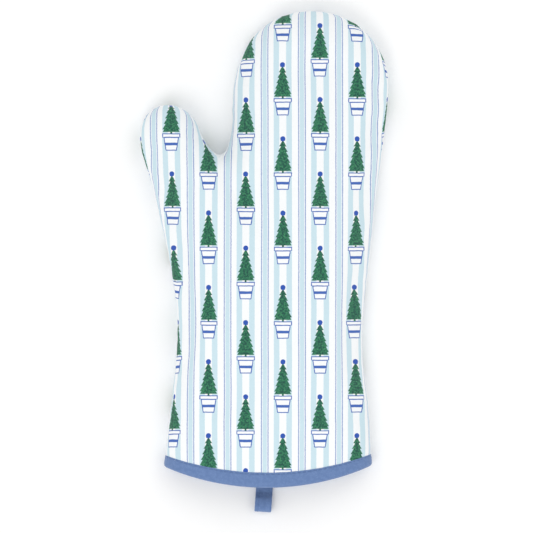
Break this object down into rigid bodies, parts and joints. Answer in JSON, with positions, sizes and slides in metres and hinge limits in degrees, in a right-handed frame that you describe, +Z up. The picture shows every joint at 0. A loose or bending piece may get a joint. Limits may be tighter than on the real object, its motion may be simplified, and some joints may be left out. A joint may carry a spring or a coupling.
{
  "type": "oven mitt",
  "caption": "Padded left-right reversible oven mitt with a thumb, a bound open cuff and a short tape hanging loop that folds about its stitched root",
  "frame": {"origin": "centre of the bounding box in plan, on the plane the mitt rests on", "axes": "the mitt lies on its back: +Z up through its thickness, +Y from the cuff toward the fingertips, +X from the thumb side toward the little-finger side"},
  "size_m": [0.1731, 0.3484, 0.038],
  "materials": {
    "printed_cotton": null,
    "wadding": "soft needled cotton wadding",
    "lining_cotton": "plain white cotton",
    "blue_twill": "matte mid-blue cotton twill tape",
    "white_thread": "spun polyester sewing thread",
    "blue_thread": "spun polyester sewing thread"
  },
  "bodies": {
    "mitt": {"outer_front": "printed_cotton", "outer_back": "printed_cotton", "batting_front": "wadding", "batting_back": "wadding", "lining_front": "lining_cotton", "lining_back": "lining_cotton", "cuff_binding": "blue_twill", "shell_seam_thread": "white_thread", "lining_seam_thread": "white_thread", "binding_topstitch": "blue_thread", "binding_understitch": "blue_thread", "loop_root": "blue_twill"},
    "loop": {"hanging_loop": "blue_twill", "loop_edge_stitch": "blue_thread"}
  },
  "joints": [
    {"name": "loop_fold", "type": "hinge", "parent": "mitt", "child": "loop", "pos_m": [0.0002, -0.1585, 0.0022], "axis": [0.9977, -0.068, 0], "range_deg": [-85, 90]}
  ]
}
